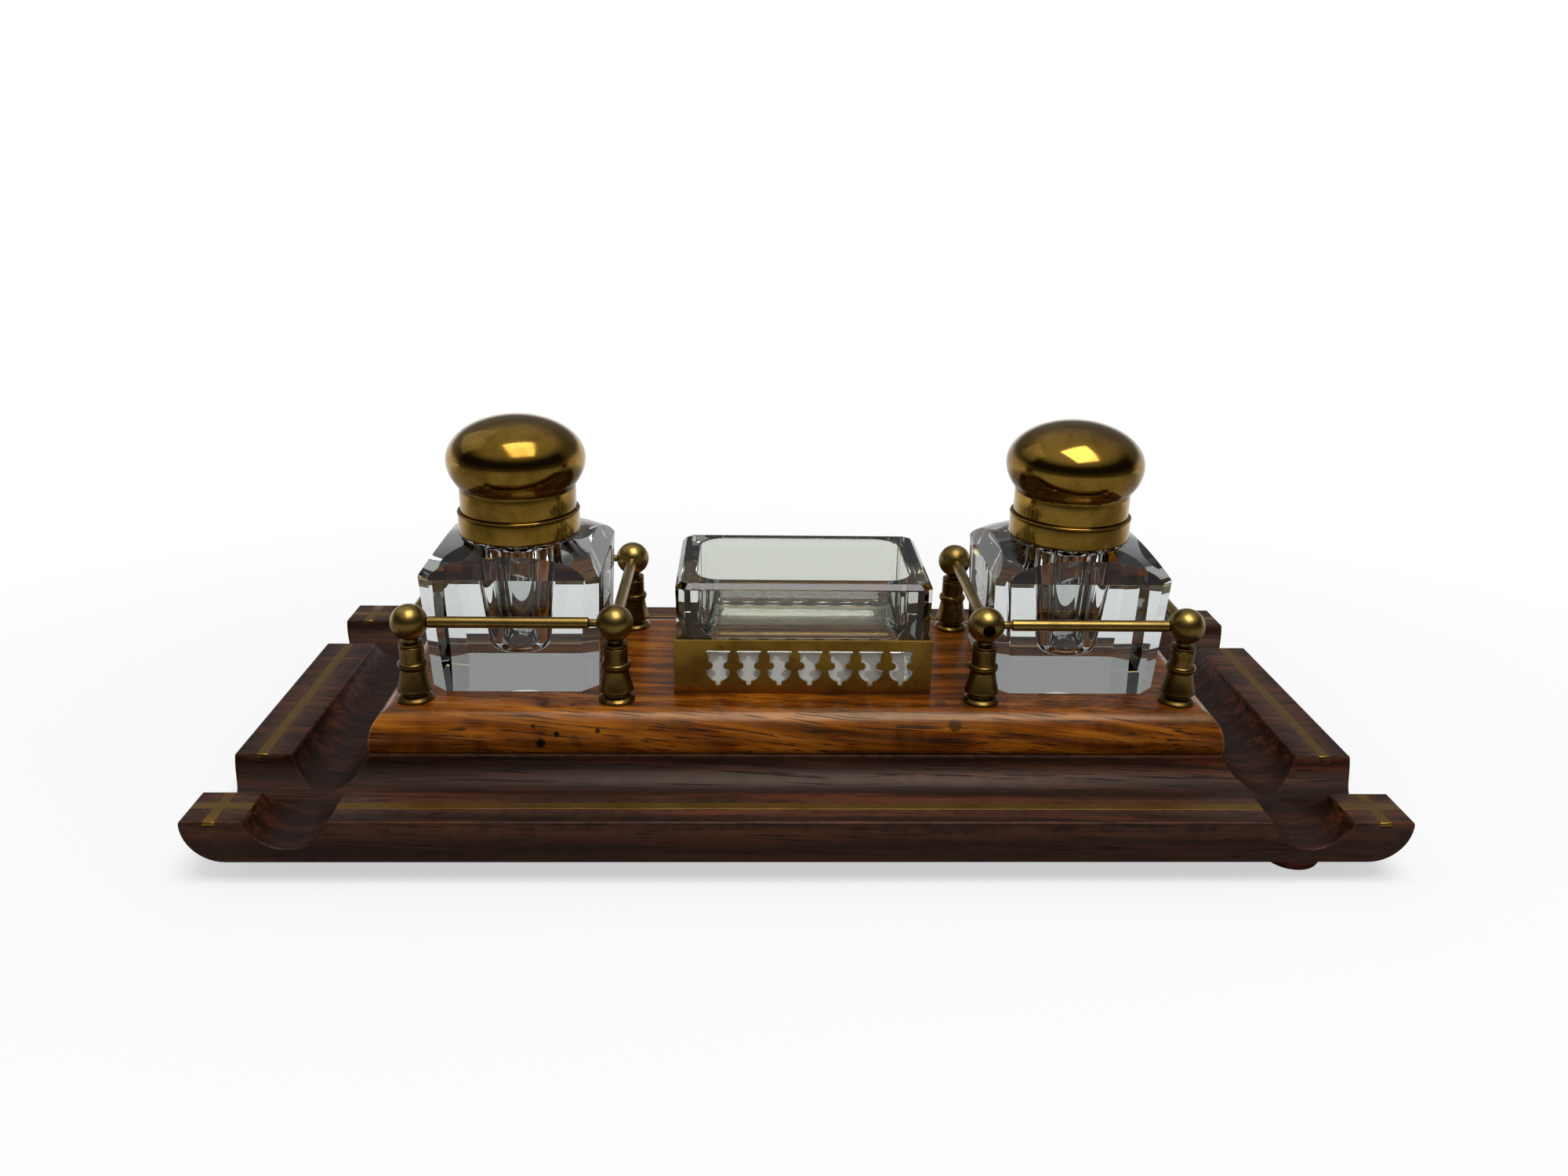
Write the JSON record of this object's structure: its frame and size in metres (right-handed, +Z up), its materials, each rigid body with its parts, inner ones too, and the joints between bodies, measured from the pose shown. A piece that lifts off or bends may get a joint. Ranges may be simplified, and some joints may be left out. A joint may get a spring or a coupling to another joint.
{
  "type": "desk inkstand",
  "caption": "Grooved rosewood board with brass stringing and a raised plinth for square glass inkwells with hinged domed brass caps, ball-and-rod galleries and a glass tray in a pierced frame.",
  "frame": {"origin": "on the table surface under the middle of the board, at the height of the foot soles", "axes": "+X to the stand's right, along the board's length; +Y to the back; +Z up. The user sits at -Y, and the inkwells' hinges are at +Y"},
  "size_m": [0.375, 0.183, 0.1256],
  "materials": {
    "rosewood": "waxed dark rosewood",
    "mahogany": "polished figured mahogany with ink stains",
    "stained_wood": "red-brown stained hardwood",
    "inlay_brass": "dull brass, flush with the wood",
    "turned_brass": "turned brass, unevenly tarnished",
    "spun_brass": "polished brass with brown patina",
    "sheet_brass": "satin sheet brass",
    "iron": "plain steel wood screw",
    "clear_glass": "clear cut glass",
    "pale_glass": "clear glass with a faint green tinge"
  },
  "bodies": {
    "stand": {"base_board": "rosewood", "front_stringing": "inlay_brass", "back_stringing": "inlay_brass", "left_stringing": "inlay_brass", "right_stringing": "inlay_brass", "cross_front_left": "inlay_brass", "cross_front_right": "inlay_brass", "cross_back_left": "inlay_brass", "cross_back_right": "inlay_brass", "foot_front_left": "stained_wood", "foot_front_right": "stained_wood", "foot_back_left": "stained_wood", "foot_back_right": "stained_wood", "plinth": "mahogany", "plinth_screws": "iron", "left_post_front_left": "turned_brass", "left_post_front_right": "turned_brass", "left_post_back_left": "turned_brass", "left_post_back_right": "turned_brass", "right_post_front_left": "turned_brass", "right_post_front_right": "turned_brass", "right_post_back_left": "turned_brass", "right_post_back_right": "turned_brass", "left_ball_front_left": "turned_brass", "left_ball_front_right": "turned_brass", "left_ball_back_left": "turned_brass", "left_ball_back_right": "turned_brass", "right_ball_front_left": "turned_brass", "right_ball_front_right": "turned_brass", "right_ball_back_left": "turned_brass", "right_ball_back_right": "turned_brass", "left_rod_front": "turned_brass", "left_rod_back": "turned_brass", "left_rod_left": "turned_brass", "left_rod_right": "turned_brass", "right_rod_front": "turned_brass", "right_rod_back": "turned_brass", "right_rod_left": "turned_brass", "right_rod_right": "turned_brass", "tray_frame": "sheet_brass", "tray_pins": "turned_brass"},
    "tray": {"glass_tray": "pale_glass"},
    "left_well": {"left_inkwell": "clear_glass", "left_collar": "spun_brass", "left_hinge_pin": "turned_brass"},
    "left_lid": {"left_cap": "spun_brass", "left_cap_plate": "spun_brass"},
    "right_well": {"right_inkwell": "clear_glass", "right_collar": "spun_brass", "right_hinge_pin": "turned_brass"},
    "right_lid": {"right_cap": "spun_brass", "right_cap_plate": "spun_brass"}
  },
  "joints": [
    {"name": "tray_lift", "type": "slide", "parent": "stand", "child": "tray", "axis": [0, 0, 1], "range_m": [0, 0.03]},
    {"name": "left_well_lift", "type": "slide", "parent": "stand", "child": "left_well", "axis": [0, 0, 1], "range_m": [0, 0.045]},
    {"name": "right_well_lift", "type": "slide", "parent": "stand", "child": "right_well", "axis": [0, 0, 1], "range_m": [0, 0.045]},
    {"name": "left_cap_hinge", "type": "hinge", "parent": "left_well", "child": "left_lid", "pos_m": [-0.0983, 0.0238, 0.0931], "axis": [-1, 0, 0], "range_deg": [0, 105]},
    {"name": "right_cap_hinge", "type": "hinge", "parent": "right_well", "child": "right_lid", "pos_m": [0.0963, 0.0238, 0.0931], "axis": [-1, 0, 0], "range_deg": [0, 105]}
  ]
}
